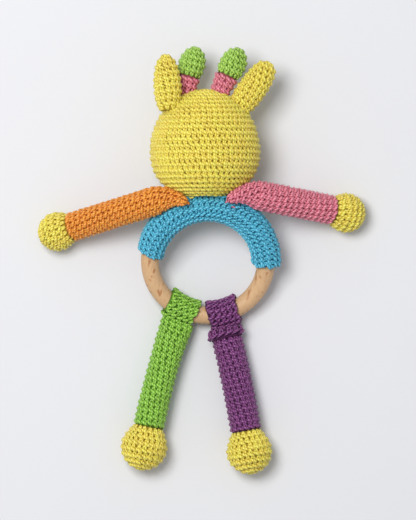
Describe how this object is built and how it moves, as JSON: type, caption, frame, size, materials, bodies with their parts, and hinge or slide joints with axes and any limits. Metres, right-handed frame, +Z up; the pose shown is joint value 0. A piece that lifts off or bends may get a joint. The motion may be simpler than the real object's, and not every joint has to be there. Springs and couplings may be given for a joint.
{
  "type": "baby rattle",
  "caption": "Crocheted giraffe-like rattle on a beech teething ring: stuffed round head with ears and horns, soft arms and legs in bright cotton, legs looped round the wood.",
  "frame": {"origin": "middle of the toy's footprint on the table, at its lowest point, as it lies on its front", "axes": "+X towards the pink arm, +Y towards the crown of the head, +Z up from the table"},
  "size_m": [0.1702, 0.2216, 0.0552],
  "materials": {
    "beech": "sanded, lightly oiled",
    "blue_cotton": "crocheted mercerised cotton",
    "yellow_cotton": "crocheted mercerised cotton",
    "orange_cotton": "crocheted mercerised cotton",
    "pink_cotton": "crocheted mercerised cotton",
    "green_cotton": "crocheted mercerised cotton",
    "purple_cotton": "crocheted mercerised cotton",
    "white_fibre": "loose polyester fibre",
    "rattle_plastic": "moulded",
    "bead_plastic": "moulded"
  },
  "bodies": {
    "sleeve": {"ring_cover": "blue_cotton", "ring_cover_seam": "blue_cotton", "neck_stitches": "yellow_cotton", "left_arm_stitches": "orange_cotton", "right_arm_stitches": "pink_cotton"},
    "ring": {"teething_ring": "beech"},
    "head": {"head_cover": "yellow_cotton", "head_stuffing": "white_fibre", "rattle_shell_upper": "rattle_plastic", "rattle_shell_lower": "rattle_plastic"},
    "left_ear": {"left_ear": "yellow_cotton", "left_ear_stuffing": "white_fibre"},
    "right_ear": {"right_ear": "yellow_cotton", "right_ear_stuffing": "white_fibre"},
    "left_horn": {"left_horn_stem": "pink_cotton", "left_horn_tip": "green_cotton", "left_horn_stuffing": "white_fibre"},
    "right_horn": {"right_horn_stem": "pink_cotton", "right_horn_tip": "green_cotton", "right_horn_stuffing": "white_fibre"},
    "left_arm": {"left_arm": "orange_cotton", "left_hand": "yellow_cotton", "left_arm_stuffing": "white_fibre"},
    "left_loop": {"left_leg_loop": "green_cotton", "left_loop_stitches": "green_cotton"},
    "left_leg": {"left_leg": "green_cotton", "left_foot": "yellow_cotton", "left_leg_stuffing": "white_fibre"},
    "right_arm": {"right_arm": "pink_cotton", "right_hand": "yellow_cotton", "right_arm_stuffing": "white_fibre"},
    "right_loop": {"right_leg_loop": "purple_cotton", "right_loop_stitches": "purple_cotton"},
    "right_leg": {"right_leg": "purple_cotton", "right_foot": "yellow_cotton", "right_leg_stuffing": "white_fibre"},
    "bead_1": {"rattle_bead_1": "bead_plastic"},
    "bead_2": {"rattle_bead_2": "bead_plastic"},
    "bead_3": {"rattle_bead_3": "bead_plastic"},
    "bead_4": {"rattle_bead_4": "bead_plastic"}
  },
  "joints": [
    {"name": "ring_turn", "type": "hinge", "parent": "sleeve", "child": "ring", "pos_m": [0.00326, 0.0001, 0.0179], "axis": [0, -0.342, 0.9397], "continuous": true},
    {"name": "head_nod", "type": "hinge", "parent": "sleeve", "child": "head", "pos_m": [0.00326, 0.02858, 0.02826], "axis": [1, 0, 0], "range_deg": [-7, 1], "stiffness_Nm_per_rad": 0.5},
    {"name": "left_ear_bend", "type": "hinge", "parent": "head", "child": "left_ear", "pos_m": [-0.01714, 0.0795, 0.0375], "axis": [0.9984, 0.0559, 0], "range_deg": [-12, 12], "stiffness_Nm_per_rad": 0.01},
    {"name": "right_ear_bend", "type": "hinge", "parent": "head", "child": "right_ear", "pos_m": [0.01866, 0.0789, 0.029], "axis": [0.8156, -0.5786, 0], "range_deg": [-12, 12], "stiffness_Nm_per_rad": 0.01},
    {"name": "left_horn_bend", "type": "hinge", "parent": "head", "child": "left_horn", "pos_m": [-0.00914, 0.0827, 0.025], "axis": [0.9756, -0.2195, 0], "range_deg": [-12, 12], "stiffness_Nm_per_rad": 0.01},
    {"name": "right_horn_bend", "type": "hinge", "parent": "head", "child": "right_horn", "pos_m": [0.00886, 0.0845, 0.0275], "axis": [0.9176, -0.3974, 0], "range_deg": [-12, 12], "stiffness_Nm_per_rad": 0.01},
    {"name": "left_arm_swing", "type": "hinge", "parent": "sleeve", "child": "left_arm", "pos_m": [-0.00814, 0.0362, 0.0402], "axis": [-0.2936, 0.9559, 0], "range_deg": [0, 70]},
    {"name": "right_arm_swing", "type": "hinge", "parent": "sleeve", "child": "right_arm", "pos_m": [0.01346, 0.0373, 0.0402], "axis": [-0.1882, -0.9821, 0], "range_deg": [0, 70]},
    {"name": "left_loop_slide", "type": "hinge", "parent": "sleeve", "child": "left_loop", "pos_m": [0.00326, 0.0001, 0.0179], "axis": [0, -0.342, 0.9397], "range_deg": [-44, 3]},
    {"name": "right_loop_slide", "type": "hinge", "parent": "sleeve", "child": "right_loop", "pos_m": [0.00326, 0.0001, 0.0179], "axis": [0, -0.342, 0.9397], "range_deg": [-3, 48]},
    {"name": "left_leg_swing", "type": "hinge", "parent": "left_loop", "child": "left_leg", "pos_m": [-0.01097, -0.02504, 0.00875], "axis": [-0.8829, 0.4412, 0.1606], "range_deg": [-40, 40]},
    {"name": "right_leg_swing", "type": "hinge", "parent": "right_loop", "child": "right_leg", "pos_m": [0.01059, -0.02752, 0.00784], "axis": [-0.9703, -0.2273, -0.0827], "range_deg": [-40, 40]},
    {"name": "bead_1_jump", "type": "slide", "parent": "head", "child": "bead_1", "axis": [0, 0, 1], "range_m": [0, 0.01412]},
    {"name": "bead_2_jump", "type": "slide", "parent": "head", "child": "bead_2", "axis": [0, 0, 1], "range_m": [0, 0.01412]},
    {"name": "bead_3_jump", "type": "slide", "parent": "head", "child": "bead_3", "axis": [0, 0, 1], "range_m": [0, 0.01412]},
    {"name": "bead_4_jump", "type": "slide", "parent": "head", "child": "bead_4", "axis": [0, 0, 1], "range_m": [0, 0.01412]}
  ]
}
